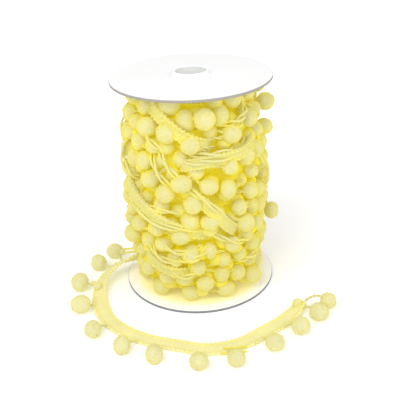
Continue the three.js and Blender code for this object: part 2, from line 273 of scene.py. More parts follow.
INNER_DEPTHS = (2.4, 4.6)
INNER_SHARES = (0.85, 0.95)
GOLDEN_ANGLE = 137.5
PACK_FLOOR = PACK_BOTTOM - 0.25  # pompoms on the pack don't sink into the lower flange
STANDING_FLOOR = 0.02
BALLS_AT_ONCE = 8  # worked out together, to save memory
POINTS_AT_ONCE = 20000
FAR_AWAY = 1e6
SEEDS = {"sizes": 41, "bands": 100, "proud": 200, "inner": 300, "inner_places": 7, "threads": 11,
         "loose": 500, "knots": 700}

# Braid, threads and cords: lengths in millimetres, and shares of the braid's half width
BRAID_DEPTH = 4.8  # how far the last wound turns of braid lie below the pack's surface
WOUND_TURNS = 15.5
WOUND_START = 100  # degrees
WOUND_LEAN = -0.16  # each turn leans over the one below like a tile
WOUND_RADIUS = 32  # for counting the rows of points along a turn
CROSSING_RADIUS = 36
CROSSING_HALF = 3.2  # half the width that a crossing turn shows, rolled in along its length
CROSSING_THICK = 1.5
BRAID_STEP = 0.36  # along the braid, between rows of points
WOUND_STEP = 0.95
WEB_EDGE = 0.68  # where the web ends and the edge cord starts
RIB_PITCH = 2.1
RIB_SLANT = 1.6
BEAD_PITCH = 2.4
SCALLOP = 0.09
EASED_ROWS = 12  # rows of points on each side that ease the loose end's line
THREAD_SIDES = 6
THREAD_ROOT = 0.75  # where a loose thread starts
THREAD_TURNS = (12, 22)  # degrees between a pompom on the pack and its thread's root
CORD_DEPTH = 3  # how far below the pack's surface the doubled cords start and end
ASKEW = np.array([0.31, 0.2, 0.93])  # the direction that a thread's sides are worked out from

# Spool: small radii and clearances in millimetres
BOARD_EDGE_RADIUS = 0.3
BOARD_HOLE = NECK_RADIUS + 0.12
BOARD_RINGS = 8
CORNER_POINTS = 5
BOARD_SIDES = 180
CORE_SIDES = 120
LIP_FOOT = SPOOL_HEIGHT + 0.012
LIP_CREST = BORE_RADIUS + 0.7
LIP_POINTS = 13
LIP_FALL = 9  # the higher this is, the sharper the lip falls away from its crest

# Colours, and the strength of glows
LEMON = (0.61, 0.57, 0.26)
# The loose pompoms' pile: a paler copy of LEMON, painted light
PALE_LEMON = (0.59, 0.565, 0.31)
GOLD = (0.78, 0.67, 0.0)
CORD_DEEP = (0.76, 0.67, 0.06)
WHITE = (0.95, 0.95, 0.945)
YARN_GLOW = 0.22  # the yarn's glow stands for the light that comes through its loose pile
LOOSE_GLOW = 0.36
# The lower board's glow is painted light: yellow near the yarn, faint grey towards the rim
BOARD_GLOW = 0.16  # yellow light from the yarn on the lower board


# Numbers and places


def even_draws(state=20873):
    """Numbers between 0 and 1 from a multiplying generator, the same run as the part's source."""
    while True:
        state = state * 48271 % 2147483647
        yield state / 2147483647


def pack_radius(z):
    """The pack's radius at a height, straight between the table's rows."""
    return np.interp(z, PACK[:, 0], PACK[:, 1])


def pack_points(degrees, z, radius):
    """Points round the axis: (radius sin a, -radius cos a, z), with the angle a in degrees."""
    a = np.radians(degrees)
    return np.stack(np.broadcast_arrays(radius * np.sin(a), -radius * np.cos(a), z), axis=-1)


def lengths(points):
    """The distance run along a line of points, from its first point."""
    steps = np.linalg.norm(np.diff(points, axis=0), axis=1)
    return np.concatenate([[0], np.cumsum(steps)])


def unit(vectors):
    """Vectors of length one."""
    return vectors / np.linalg.norm(vectors, axis=-1, keepdims=True)


def waves(points, size, seed, count=10):
    """A smooth uneven field, about -1 to 1: the mean of sine waves of one size along random directions."""
    rng = np.random.default_rng(seed)
    ways = unit(rng.normal(size=(count, 3))) * rng.uniform(0.7, 1.4, (count, 1)) * 2 * np.pi / size
    return np.sin(points @ ways.T + rng.uniform(0, 2 * np.pi, count)).mean(axis=-1) * math.sqrt(count) / 2


def smooth_line(rows, shares):
    """A centripetal spline through rows of x, y, z, ... at shares from 0 to 1 of its number of spans.

    Each span is a cubic whose end slopes come from its neighbours, weighted by the root of their distances.
    """
    ends = np.vstack([2 * rows[0] - rows[1], rows, 2 * rows[-1] - rows[-2]])
    place = shares * (len(rows) - 1)
    span = np.minimum(place.astype(int), len(rows) - 2)
    t = (place - span)[:, None]
    p = [ends[span + k] for k in range(4)]
    gap = [np.sqrt(np.linalg.norm((p[k + 1] - p[k])[:, :3], axis=1))[:, None] for k in range(3)]
    slope = [(p[k + 1] - p[k]) / gap[k] for k in range(3)]
    start = (slope[0] - (p[2] - p[0]) / (gap[0] + gap[1]) + slope[1]) * gap[1]
    stop = (slope[1] - (p[3] - p[1]) / (gap[1] + gap[2]) + slope[2]) * gap[1]
    rise = p[2] - p[1]
    return p[1] + start * t + (3 * rise - 2 * start - stop) * t**2 + (start + stop - 2 * rise) * t**3


def tail_frame(shares):
    """The loose end's middle line, its ways across to the pompom edge and out of its face, half its width."""
    line = smooth_line(TAIL[:, :3], shares)
    along = unit(np.gradient(line, axis=0))
    rows = shares * (len(TAIL) - 1)
    line[:, 2] = np.interp(rows, np.arange(len(TAIL)), TAIL[:, 2])
    lean = np.radians(np.interp(rows, np.arange(len(TAIL)), TAIL[:, 3]))[:, None]
    half = np.interp(rows, np.arange(len(TAIL)), TAIL[:, 4])[:, None] / 2
    outward = unit(np.stack([along[:, 1], -along[:, 0], 0 * along[:, 0]], axis=1))
    across = outward * np.cos(lean) + np.array([0, 0, 1]) * np.sin(lean)
    return line, across, unit(np.cross(across, along)), half


def wound_places():
    """Places before they settle: the proud pompoms, bare spots under crossings, and the wound rows."""
    draw = even_draws()
    bare = []
    for turn, z, to_turn, to_z, _ in CROSSINGS:
        share = np.arange(1, CROSSING_STEPS) / CROSSING_STEPS
        level = z + (to_z - z) * share
        bare += [*pack_points(turn + (to_turn - turn) * share, level, pack_radius(level))]
    loose = []
    for row in range(PASSES):
        level = LOWEST_POMPOM + (HIGHEST_POMPOM - LOWEST_POMPOM) * (row + 0.5) / PASSES
        count = math.floor(2 * math.pi * pack_radius(level) / POMPOM_PITCH + 0.5)
        lag = 360 * next(draw)
        for k in range(count):
            degrees = 360 * (k + 0.5 * next(draw)) / count + lag
            z = level + ROW_SCATTER * (next(draw) - 0.5)
            loose.append(pack_points(degrees, z, pack_radius(z) - SET_DEPTH))
    return pack_points(*PROUD.T), np.array(bare), np.array(loose)


def lifted(places, height):
    """The places moved to a height over the pack's surface."""
    z = np.clip(places[..., 2], LOWEST_POMPOM, HIGHEST_POMPOM)
    share = (pack_radius(z) + height) / np.hypot(places[..., 0], places[..., 1])
    return np.stack([places[..., 0] * share, places[..., 1] * share, z], axis=-1)


def settled_places():
    """The outer pompoms' centres, pushed apart in small steps and then thinned, and which ones are proud."""
    fixed, bare, loose = wound_places()
    held = len(fixed) + len(bare)
    at = np.vstack([fixed, bare, loose])
    room = np.full(len(at), PUSH_APART)
    room[len(fixed):held] = EDGE_APART
    for _ in range(SETTLING_STEPS):
        way = at[:, None] - at[None]
        far = np.linalg.norm(way, axis=2)
        np.fill_diagonal(far, PUSH_APART)
        short = np.maximum(room[None] - far, 0)
        push = (PUSH_SHARE * way * (short / far)[..., None]).sum(axis=1)
        at[held:] = lifted(at[held:] + push[held:], -SET_DEPTH)
    kept = []
    for place in np.vstack([at[: len(fixed)], at[held:]]):
        if far_from(place, kept) and clear_of_tail(place):
            kept.append(place)
    proud = np.arange(len(kept)) < len(fixed)
    for k in range(len(fixed), len(kept), OUT_EVERY):
        out = lifted(kept[k], OUT_HEIGHT)
        if far_from(out, kept[:k] + kept[k + 1:]):
            kept[k] = out
            proud[k] = True
    return np.array(kept), proud


def far_from(place, others):
    """Whether a pompom's place is clear of all the others."""
    return all(np.linalg.norm(place - other) > BALL_APART for other in others)


def clear_of_tail(place):
    """Whether a pompom on the pack leaves room for the loose end where it comes off."""
    middle, across, _, half = tail_frame(np.arange(TAIL_STEPS // 4 + 1) / TAIL_STEPS)
    up = np.clip(((place - middle) * across).sum(axis=1, keepdims=True), -half, half)
    near = np.linalg.norm(middle + across * up - place, axis=1).min()
    return near >= POMPOM_RADIUS + BRAID_THICKNESS / 2 + 2 * GAP


# Meshes


def make_piece(name, points, faces, materials, crevice=None, uv=None, face_material=None):
    """A mesh piece from points in millimetres round the spool's axis and arrays of quads and triangles."""
    points = points.reshape(-1, 3)
    corners = np.concatenate([part.ravel() for part in faces])
    sizes = np.concatenate([np.full(len(part), part.shape[1]) for part in faces])
    mesh = bpy.data.meshes.new(name)
    mesh.vertices.add(len(points))
    mesh.vertices.foreach_set("co", ((points + AXIS) * MM).ravel())
    mesh.loops.add(len(corners))
    mesh.loops.foreach_set("vertex_index", corners)
    mesh.polygons.add(len(sizes))
    mesh.polygons.foreach_set("loop_start", np.concatenate([[0], np.cumsum(sizes)[:-1]]))
    mesh.update(calc_edges=True)
    mesh.polygons.foreach_set("use_smooth", np.ones(len(sizes), dtype=bool))
    if crevice is not None:
        mesh.attributes.new("crevice", "FLOAT", "POINT").data.foreach_set("value", crevice.ravel())
    if uv is not None:
        mesh.uv_layers.new(name="UVMap").data.foreach_set("uv", (uv.reshape(-1, 2)[corners] * MM).ravel())
    for material in materials:
        mesh.materials.append(material)
    if face_material is not None:
        mesh.polygons.foreach_set("material_index", face_material)
    mesh.validate()
    piece = bpy.data.objects.new(name, mesh)
    bpy.context.collection.objects.link(piece)
    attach(piece, "root")
    return piece


def grid_faces(rows, columns, ring_rows=False):
    """Quads of a grid of points whose columns run round, and whose rows may run round too."""
    i = np.arange(rows if ring_rows else rows - 1)[:, None]
    j = np.arange(columns)[None]
    low, high = i * columns, (i + 1) % rows * columns
    following = (j + 1) % columns
    return np.stack([low + j, low + following, high + following, high + j], axis=-1).reshape(-1, 4)


def fan_ends(rows, columns):
    """Triangles that close both ends of a grid whose columns run round, outwards at each end."""
    j = np.arange(1, columns - 1)
    last = (rows - 1) * columns
    first_end = np.stack([0 * j, j + 1, j], axis=1)
    return np.vstack([first_end, np.stack([0 * j + last, j + last, j + 1 + last], axis=1)])


def repeated(faces, copies, size):
    """The same faces for each of several copies of a set of points."""
    return (faces[None] + size * np.arange(copies)[:, None, None]).reshape(-1, faces.shape[1])


def joined(parts):
    """Points, quads, triangles, uv and groove shade of several parts as one set."""
    start = np.cumsum([0] + [len(part["points"]) for part in parts])
    return {
        "points": np.vstack([part["points"] for part in parts]),
        "quads": np.vstack([part["quads"] + at for part, at in zip(parts, start)]),
        "tris": np.vstack([part["tris"] + at for part, at in zip(parts, start)]),
        "uv": np.vstack([part["uv"] for part in parts]),
        "groove": np.concatenate([part["groove"] for part in parts]),
    }


# Pompoms


def ball_grid(rows, columns):
    """Directions over a ball, (sin v cos u, sin v sin u, cos v), one point at each pole, with its faces."""
    v = np.pi * np.arange(1, rows) / rows
    u = 2 * np.pi * np.arange(columns) / columns
    v, u = np.meshgrid(v, u, indexing="ij")
    rings = np.stack([np.sin(v) * np.cos(u), np.sin(v) * np.sin(u), np.cos(v)], axis=-1).reshape(-1, 3)
    quads = grid_faces(rows - 1, columns)[:, ::-1]
    top, bottom = len(rings), len(rings) + 1
    j = np.arange(columns)
    following = (j + 1) % columns
    last = (rows - 2) * columns
    upper = np.stack([0 * j + top, j, following], axis=1)
    lower = np.stack([0 * j + bottom, last + following, last + j], axis=1)
    return np.vstack([rings, [(0, 0, 1), (0, 0, -1)]]), quads, np.vstack([upper, lower])


def turned_matrices(count, rng):
    """Random rotations, one for each ball, from normalised quaternions."""
    w, x, y, z = unit(rng.normal(size=(count, 4))).T
    return np.stack([
        1 - 2 * (y * y + z * z), 2 * (x * y - z * w), 2 * (x * z + y * w),
        2 * (x * y + z * w), 1 - 2 * (x * x + z * z), 2 * (y * z - x * w),
        2 * (x * z - y * w), 2 * (y * z + x * w), 1 - 2 * (x * x + y * y),
    ], axis=1).reshape(count, 3, 3)


def pressed(points, own, centres, radii):
    """Points of soft balls drawn back towards their own centres where they lie inside another ball."""
    for start in range(0, len(points), BALLS_AT_ONCE):
        block = points[start:start + BALLS_AT_ONCE]
        mine = own[start:start + BALLS_AT_ONCE]
        far = np.linalg.norm(block[:, :, None] - centres[None, None], axis=3)
        far[np.arange(len(block)), :, mine] = FAR_AWAY
        deep = np.maximum(radii - far, 0).max(axis=2, keepdims=True)
        block -= PRESS_FIRMNESS * deep * unit(block - centres[mine, None])
    return points


def crevice_shade(points, centres, radii, own=None):
    """How shut in each point is, 0 to 1, for the yarn's painted shade: near other pompoms' surfaces, and deep
    in the pack.

    shade = 1 - (1 - depth) * exp(-half the sum over the pompoms of exp(-distance from its surface / reach)).
    """
    flat = points.reshape(-1, 3)
    near = np.zeros(len(flat))
    owner = None if own is None else np.repeat(own, points.shape[1])
    for start in range(0, len(flat), POINTS_AT_ONCE):
        block = slice(start, start + POINTS_AT_ONCE)
        far = np.linalg.norm(flat[block, None] - centres[None], axis=2) - radii
        closeness = np.exp(-np.maximum(far, 0) / CREVICE_REACH)
        if owner is not None:
            closeness[np.arange(len(far)), owner[block]] = 0
        near[block] = closeness.sum(axis=1)
    out = np.hypot(flat[:, 0], flat[:, 1])
    below = pack_radius(flat[:, 2]) - 0.4 - out
    depth = np.clip(below / CREVICE_DEPTH, 0, 1) * (out < FLANGE_RADIUS)
    return 1 - (1 - depth) * np.exp(-0.5 * near)


def fibre_spikes(feet, centres, rng):
    """Loose fibre ends: thin three-sided spikes from just under the pile, leaning off the way out."""
    way = unit(unit(feet - centres[:, None]) + FIBRE_LEAN * rng.normal(size=feet.shape))
    side = unit(np.cross(way, rng.normal(size=feet.shape)))
    other = np.cross(way, side)
    long = rng.uniform(*FIBRE_LENGTHS, (*feet.shape[:2], 1))
    base = feet - FIBRE_SUNK * way
    angles = 2 * math.pi * np.arange(3) / 3
    corners = [base + FIBRE_RADIUS * (math.cos(a) * side + math.sin(a) * other) for a in angles]
    return np.stack([*corners, feet + long * way], axis=2).reshape(len(feet), -1, 3)


def pompom_parts(centres, radii, own, all_centres, all_radii, seed, floor, size=BALL_GRID, fibres=FIBRES):
    """Cut-pile balls with loose fibre ends, and their shade. Own holds their places among all the balls.

    Ball: p = centre + radius * (1 + lumps) * turned oval direction, drawn back where another ball presses.
    """
    rng = np.random.default_rng(seed)
    count = len(centres)
    grid, quads, tris = ball_grid(*size)
    roots = unit(rng.normal(size=(count, fibres, 3)))
    directions = np.concatenate([np.broadcast_to(grid, (count, *grid.shape)), roots], axis=1)
    turned = np.einsum("bij,bnj->bni", turned_matrices(count, rng), directions)
    oval = rng.uniform(*OVAL_SHARES, (count, 1, 3))
    field = turned * radii[:, None, None] + centres[:, None] * 7
    lumps = BIG_LUMPS[0] * waves(field, BIG_LUMPS[1], seed)
    lumps += SMALL_LUMPS[0] * waves(field, SMALL_LUMPS[1], seed + 1)
    points = centres[:, None] + radii[:, None, None] * (1 + lumps)[..., None] * turned * oval
    points = pressed(points, own, all_centres, all_radii)
    points[..., 2] = np.maximum(points[..., 2], floor)
    spikes = fibre_spikes(points[:, len(grid):], centres, rng)
    spikes[..., 2] = np.maximum(spikes[..., 2], floor)
    whole = np.concatenate([points[:, : len(grid)], spikes], axis=1)
    spike_faces = repeated(FIBRE_FACES, fibres, 4) + len(grid)
    return {
        "points": whole.reshape(-1, 3),
        "quads": repeated(quads, count, whole.shape[1]),
        "tris": repeated(np.vstack([tris, spike_faces]), count, whole.shape[1]),
        "shade": crevice_shade(whole, all_centres, all_radii, own),
    }


# Braid and threads


def braid_part(middle, across, face, half, thick=1.0):
    """A ribbed braid along a line: p(q, s) = middle(s) + across(s) * u(q, s) + face(s) * v(q, s).

    Round the section u runs over the face and back. v is half the thickness: a thin web with slanting ribs,
    cos(2 pi (s / pitch - slant |u|)), and a thick cord along each edge that swells and narrows into beads.
    Thick scales v. The groove shade is 0 on ribs and beads, and grows between them and in the cord's seam.
    """
    s = lengths(middle)[:, None]
    half_over = np.array([0.12, 0.4, WEB_EDGE, 0.78, 0.88, 0.96, 1])
    over = np.concatenate([-half_over[::-1], half_over])
    u = np.concatenate([over, over[-2:0:-1]])[None]
    side = np.concatenate([np.ones(len(over)), -np.ones(len(over) - 2)])[None]
    cord = np.clip((np.abs(u) - WEB_EDGE) / (1 - WEB_EDGE), 0, 1)
    bead = np.cos(2 * np.pi * (s / BEAD_PITCH + 0.25 * np.sign(u)))
    rib = np.cos(2 * np.pi * (s / RIB_PITCH - RIB_SLANT * np.abs(u)))
    round_edge = np.sqrt(np.clip(1 - (2 * cord - 1) ** 2, 0, 1))
    web = 0.45 + 0.2 * rib
    v = np.where(cord > 0, np.maximum(web * (1 - cord), (0.85 + 0.2 * bead) * round_edge), web)
    v = np.where(np.abs(u) >= 1, 0, v) * side * thick
    reach = u * (1 + SCALLOP * bead * cord) * half
    seam = np.exp(-((np.abs(u) - WEB_EDGE) / 0.1) ** 2)
    groove = 0.16 * (1 - np.where(cord > 0, bead, rib)) + 0.2 * seam
    points = middle[:, None] + across[:, None] * reach[..., None] + face[:, None] * v[..., None]
    columns = u.shape[1]
    uv = np.stack(np.broadcast_arrays(u * half, s), axis=-1)
    return {
        "points": points.reshape(-1, 3),
        "quads": grid_faces(len(middle), columns),
        "tris": fan_ends(len(middle), columns),
        "uv": uv.reshape(-1, 2),
        "groove": groove.ravel(),
    }


def line_sides(lines):
    """Two ways at each point of many lines, square to the line and to each other."""
    along = unit(np.gradient(lines, axis=1))
    side = unit(np.cross(along, ASKEW))
    return side, np.cross(along, side)


def round_parts(lines, radius):
    """Threads along many lines at once: p = line(s) + radius * (cos a * side + sin a * other)."""
    count, steps, _ = lines.shape
    side, other = line_sides(lines)
    a = (2 * np.pi * np.arange(THREAD_SIDES) / THREAD_SIDES)[:, None]
    points = lines[:, :, None] + radius * (np.cos(a) * side[:, :, None] + np.sin(a) * other[:, :, None])
    per_line = steps * THREAD_SIDES
    s = np.broadcast_to(np.arange(steps)[None, :, None] * radius, points.shape[:3])
    uv = np.stack([np.broadcast_to(a[:, 0] * radius, points.shape[:3]), s], axis=-1)
    return {
        "points": points.reshape(-1, 3),
        "quads": repeated(grid_faces(steps, THREAD_SIDES), count, per_line),
        "tris": repeated(fan_ends(steps, THREAD_SIDES), count, per_line),
        "uv": uv.reshape(-1, 2),
        "groove": np.zeros(points.size // 3),
    }


def bowed(start, bend, stop, steps):
    """Curved lines from start to stop, pulled towards bend: (1 - t)^2 a + 2 t (1 - t) b + t^2 c."""
    t = np.linspace(0, 1, steps)[None, :, None]
    return (1 - t) ** 2 * start[:, None] + 2 * t * (1 - t) * bend[:, None] + t**2 * stop[:, None]


def two_ply(lines, apart=0.42, radius=0.36, turns=3.0):
    """Each line as two threads that wind round each other."""
    side, other = line_sides(lines)
    a = 2 * np.pi * turns * np.linspace(0, 1, lines.shape[1])[None, :, None]
    offset = apart * (np.cos(a) * side + np.sin(a) * other)
    return joined([round_parts(lines + offset, radius), round_parts(lines - offset, radius)])


def leaning(middle, out, lean):
    """Ways across and out of the face of braid on the pack: across leans by a share of the way out."""
    along = unit(np.gradient(middle, axis=0))
    across = unit(unit(np.cross(out, along)) + lean * out)
    return across, unit(np.cross(along, across))


def wound_turns():
    """The under layer of braid: a helix of uneven tilt, z = level + tilt, that keeps inside the flanges."""
    steps = int(WOUND_TURNS * 2 * math.pi * WOUND_RADIUS / WOUND_STEP)
    share = np.linspace(0, 1, steps)
    degrees = 360 * WOUND_TURNS * share + WOUND_START
    edge = BRAID_WIDTH / 2 + 0.4
    level = PACK_BOTTOM + edge + (PACK_TOP - PACK_BOTTOM - 2 * edge) * share
    window = np.sin(np.pi * np.clip(share * 1.02 - 0.01, 0, 1)) ** 0.5
    a = np.radians(degrees)
    tilt = 3.4 * np.sin(a + 9 * share) + 1.6 * np.sin(2.3 * a + 20 * share)
    z = level + tilt * window
    radius = pack_radius(z) - BRAID_DEPTH + 0.5 * np.sin(1.7 * a)
    middle = pack_points(degrees, z, radius)
    across, face = leaning(middle, unit(pack_points(degrees, 0 * z, radius)), WOUND_LEAN)
    return braid_part(middle, across, face, BRAID_WIDTH / 2)


def crossing_turn(row):
    """A turn that crosses the others: it comes up out of the pack, rides over it and goes under again."""
    turn, z, to_turn, to_z, lift = row
    steps = int(abs(to_turn - turn) * math.pi / 180 * CROSSING_RADIUS / BRAID_STEP)
    share = np.linspace(0, 1, steps)
    level = z + (to_z - z) * share + 1.2 * np.sin(2 * np.pi * share)
    rise = np.sin(np.pi * share) ** 0.5
    radius = pack_radius(level) + (lift + BRAID_DEPTH) * rise - BRAID_DEPTH
    degrees = turn + (to_turn - turn) * share
    middle = pack_points(degrees, level, radius)
    twist = (0.25 * np.sin(2 * np.pi * share + turn))[:, None]
    across, face = leaning(middle, unit(pack_points(degrees, 0 * level, radius)), twist)
    return braid_part(middle, across, face, CROSSING_HALF, CROSSING_THICK)


def cord_lines():
    """The doubled cords' lines over the pack: they come up out of it, sag a little and go under again."""
    turn, z, to_turn, to_z, lift, sag = CORDS.T[:, :, None]
    share = np.linspace(0, 1, CORD_STEPS)[None]
    rise = np.sin(np.pi * share)
    level = z + (to_z - z) * share - sag * rise
    radius = pack_radius(level) + (lift + CORD_DEPTH) * rise**0.6 - CORD_DEPTH
    return pack_points(turn + (to_turn - turn) * share, level, radius)


def tail_braid_part():
    """The loose end's braid, along the part's own line, eased at the table's rows, kept off the surface."""
    run = lengths(tail_frame(np.linspace(0, 1, 400))[0])[-1]
    middle, across, _, half = tail_frame(np.linspace(0, 1, int(run / BRAID_STEP)))
    ease = np.hanning(2 * EASED_ROWS + 1)
    ease /= ease.sum()
    for values in (middle, across, half):
        padded = np.pad(values, ((EASED_ROWS, EASED_ROWS), (0, 0)), mode="reflect", reflect_type="odd")
        values[:] = np.stack([np.convolve(column, ease, mode="valid") for column in padded.T], axis=1)
    along = unit(np.gradient(middle, axis=0))
    across = unit(across - (across * along).sum(axis=1, keepdims=True) * along)
    part = braid_part(middle, across, unit(np.cross(across, along)), half)
    part["points"][:, 2] = np.maximum(part["points"][:, 2], STANDING_FLOOR)
    return part


# Spool


def turned_part(profile, sides):
    """A closed profile of r and z turned round the axis: p(a, k) = (r(k) sin a, -r(k) cos a, z(k))."""
    profile = np.array(profile, float)
    a = 360 * np.arange(sides) / sides
    points = pack_points(a[:, None], profile[None, :, 1], profile[None, :, 0])
    return points.reshape(-1, 3), grid_faces(sides, len(profile), ring_rows=True)


def bent_corner(r, z, radius, start):
    """Points of a quarter circle round a corner, from the angle start in degrees, anticlockwise."""
    a = np.radians(start + np.linspace(0, 90, CORNER_POINTS))
    return [(r + radius * math.cos(x), z + radius * math.sin(x)) for x in a]


def flange_piece(name, cad_node, z, board, edge):
    """A flat disc of board with a hole, its cut edge a little rounded and of another colour, which on the
    lower board is partly painted shadow.
    """
    top = z + FLANGE_THICKNESS
    rim = FLANGE_RADIUS - BOARD_EDGE_RADIUS
    across = np.linspace(FLANGE_RADIUS - 1.5, BOARD_HOLE + 1.5, BOARD_RINGS)
    profile = [(r, z) for r in across[::-1]]
    profile += bent_corner(rim, z + BOARD_EDGE_RADIUS, BOARD_EDGE_RADIUS, -90)
    profile += bent_corner(rim, top - BOARD_EDGE_RADIUS, BOARD_EDGE_RADIUS, 0)
    profile += [(r, top) for r in across]
    profile += [(BOARD_HOLE, top), (BOARD_HOLE, z)]
    points, quads = turned_part(profile, BOARD_SIDES)
    step = np.arange(len(quads)) % len(profile)
    first = BOARD_RINGS + 1
    on_edge = (step >= first) & (step < first + 2 * CORNER_POINTS - 3)
    piece = make_piece(name, points, [quads], [board, edge],
                       face_material=on_edge.astype(int))
    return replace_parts(piece, cad_node)


def core_piece(plastic, bore_shade):
    """The core: a tube with shoulders between the flanges, and a soft lip that falls away over the top one.

    Over the flange r(t) runs from the lip's edge to its crest, and z(t) = foot + rise * sin(pi t / 2)^fall.
    """
    t = np.linspace(0, 1, LIP_POINTS)
    soft = 0.012
    rise = soft + (LIP_TOP - LIP_FOOT - soft) * np.sin(t * np.pi / 2) ** LIP_FALL
    profile = [
        (BORE_RADIUS, 0.3),
        (BORE_RADIUS + 0.3, 0),
        (NECK_RADIUS - 0.2, 0),
        (NECK_RADIUS, 0.2),
        (NECK_RADIUS, PACK_BOTTOM),
        (BARREL_RADIUS, PACK_BOTTOM),
        (BARREL_RADIUS, PACK_TOP),
        (NECK_RADIUS, PACK_TOP),
        (NECK_RADIUS, LIP_FOOT),
        (LIP_RADIUS, LIP_FOOT),
        (LIP_RADIUS + 0.02, LIP_FOOT + 0.005),
        *zip(LIP_RADIUS - 0.05 + (LIP_CREST - LIP_RADIUS) * t, LIP_FOOT + rise),
        (BORE_RADIUS + 0.25, LIP_TOP - 0.25),
        (BORE_RADIUS, LIP_TOP - 0.8),
    ]
    points, quads = turned_part(profile, CORE_SIDES)
    step = np.arange(len(quads)) % len(profile)
    # Faces in the bore take the darker plastic: painted shade
    in_bore = (step == 0) | (step == len(profile) - 1)
    piece = make_piece("spool_core_tube", points, [quads], [plastic, bore_shade],
                       face_material=in_bore.astype(int))
    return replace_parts(piece, "spool_core")


# Materials


def new_material(name, color, roughness):
    """A material with its shader, and its colour, roughness and gloss on the shader's own sockets."""
    material = bpy.data.materials.new(name)
    material.use_nodes = True
    shader = material.node_tree.nodes["Principled BSDF"]
    shader.inputs["Base Color"].default_value = (*color, 1)
    shader.inputs["Roughness"].default_value = roughness
    shader.inputs["Specular IOR Level"].default_value = 0.2
    material.diffuse_color = (*color, 1)
    return material, material.node_tree, shader


def new_group(name, inputs, outputs):
    """A shader node group with named sockets, given as (name, kind, first value)."""
    group = bpy.data.node_groups.new(name, "ShaderNodeTree")
    for label, kind, value in inputs:
        socket = group.interface.new_socket(label, in_out="INPUT", socket_type=kind)
        if value is not None:
            socket.default_value = value
    for label, kind in outputs:
        group.interface.new_socket(label, in_out="OUTPUT", socket_type=kind)
    return group, group.nodes.new("NodeGroupInput"), group.nodes.new("NodeGroupOutput")


def node(tree, kind, inputs=None, **settings):
    """A node with its settings, its inputs given as values or as sockets to link."""
    made = tree.nodes.new(kind)
    for key, value in settings.items():
        setattr(made, key, value)
    for key, value in (inputs or {}).items():
        if isinstance(value, bpy.types.NodeSocket):
            tree.links.new(value, made.inputs[key])
        else:
            made.inputs[key].default_value = value
    return made


def fibre_grain_group():
    """Yarn fibre: a mottled mask and a height from fine noise over coarser clumps."""
    group, given, out = new_group(
        "fibre_grain",
        [("Vector", "NodeSocketVector", None), ("Fibre", "NodeSocketFloat", 900.0),
         ("Clump", "NodeSocketFloat", 320.0)],
        [("Mask", "NodeSocketFloat"), ("Height", "NodeSocketFloat")],
    )
    fine = node(group, "ShaderNodeTexNoise",
                {"Vector": given.outputs["Vector"], "Scale": given.outputs["Fibre"], "Detail": 2.0})
    clump = node(group, "ShaderNodeTexVoronoi",
                 {"Vector": given.outputs["Vector"], "Scale": given.outputs["Clump"]}, feature="F1")
    slow = node(group, "ShaderNodeTexNoise",
                {"Vector": given.outputs["Vector"], "Scale": 70.0, "Detail": 1.0})
    mask = node(group, "ShaderNodeMath", {0: fine.outputs["Fac"], 1: slow.outputs["Fac"]}, operation="ADD")
    half = node(group, "ShaderNodeMath", {0: mask.outputs[0], 1: 0.5}, operation="MULTIPLY")
    height = node(group, "ShaderNodeMath",
                  {0: clump.outputs["Distance"], 1: -0.7, 2: fine.outputs["Fac"]}, operation="MULTIPLY_ADD")
    group.links.new(half.outputs[0], out.inputs["Mask"])
    group.links.new(height.outputs[0], out.inputs["Height"])
    return group


def yarn_colour_group():
    """The yarn's colour, a little mottled, with painted shade: pale on the tips, deep golden where it is shut
    in.
    """
    group, given, out = new_group(
        "yarn_colour",
        [("Mask", "NodeSocketFloat", 0.5), ("Crevice", "NodeSocketFloat", 0.0),
         ("Tip", "NodeSocketColor", None), ("Deep", "NodeSocketColor", None)],
        [("Color", "NodeSocketColor")],
    )
    shut = node(group, "ShaderNodeMapRange",
                {"Value": given.outputs["Crevice"], "From Min": 0.03, "From Max": 0.75})
    blend = node(group, "ShaderNodeMix",
                 {"Factor": shut.outputs["Result"], "A": given.outputs["Tip"], "B": given.outputs["Deep"]},
                 data_type="RGBA")
    tone = node(group, "ShaderNodeMapRange",
                {"Value": given.outputs["Mask"], "From Min": 0.3, "From Max": 0.7,
                 "To Min": 0.91, "To Max": 1.05})
    shaded = node(group, "ShaderNodeVectorMath",
                  {0: blend.outputs["Result"], "Scale": tone.outputs["Result"]}, operation="SCALE")
    group.links.new(shaded.outputs["Vector"], out.inputs["Color"])
    return group


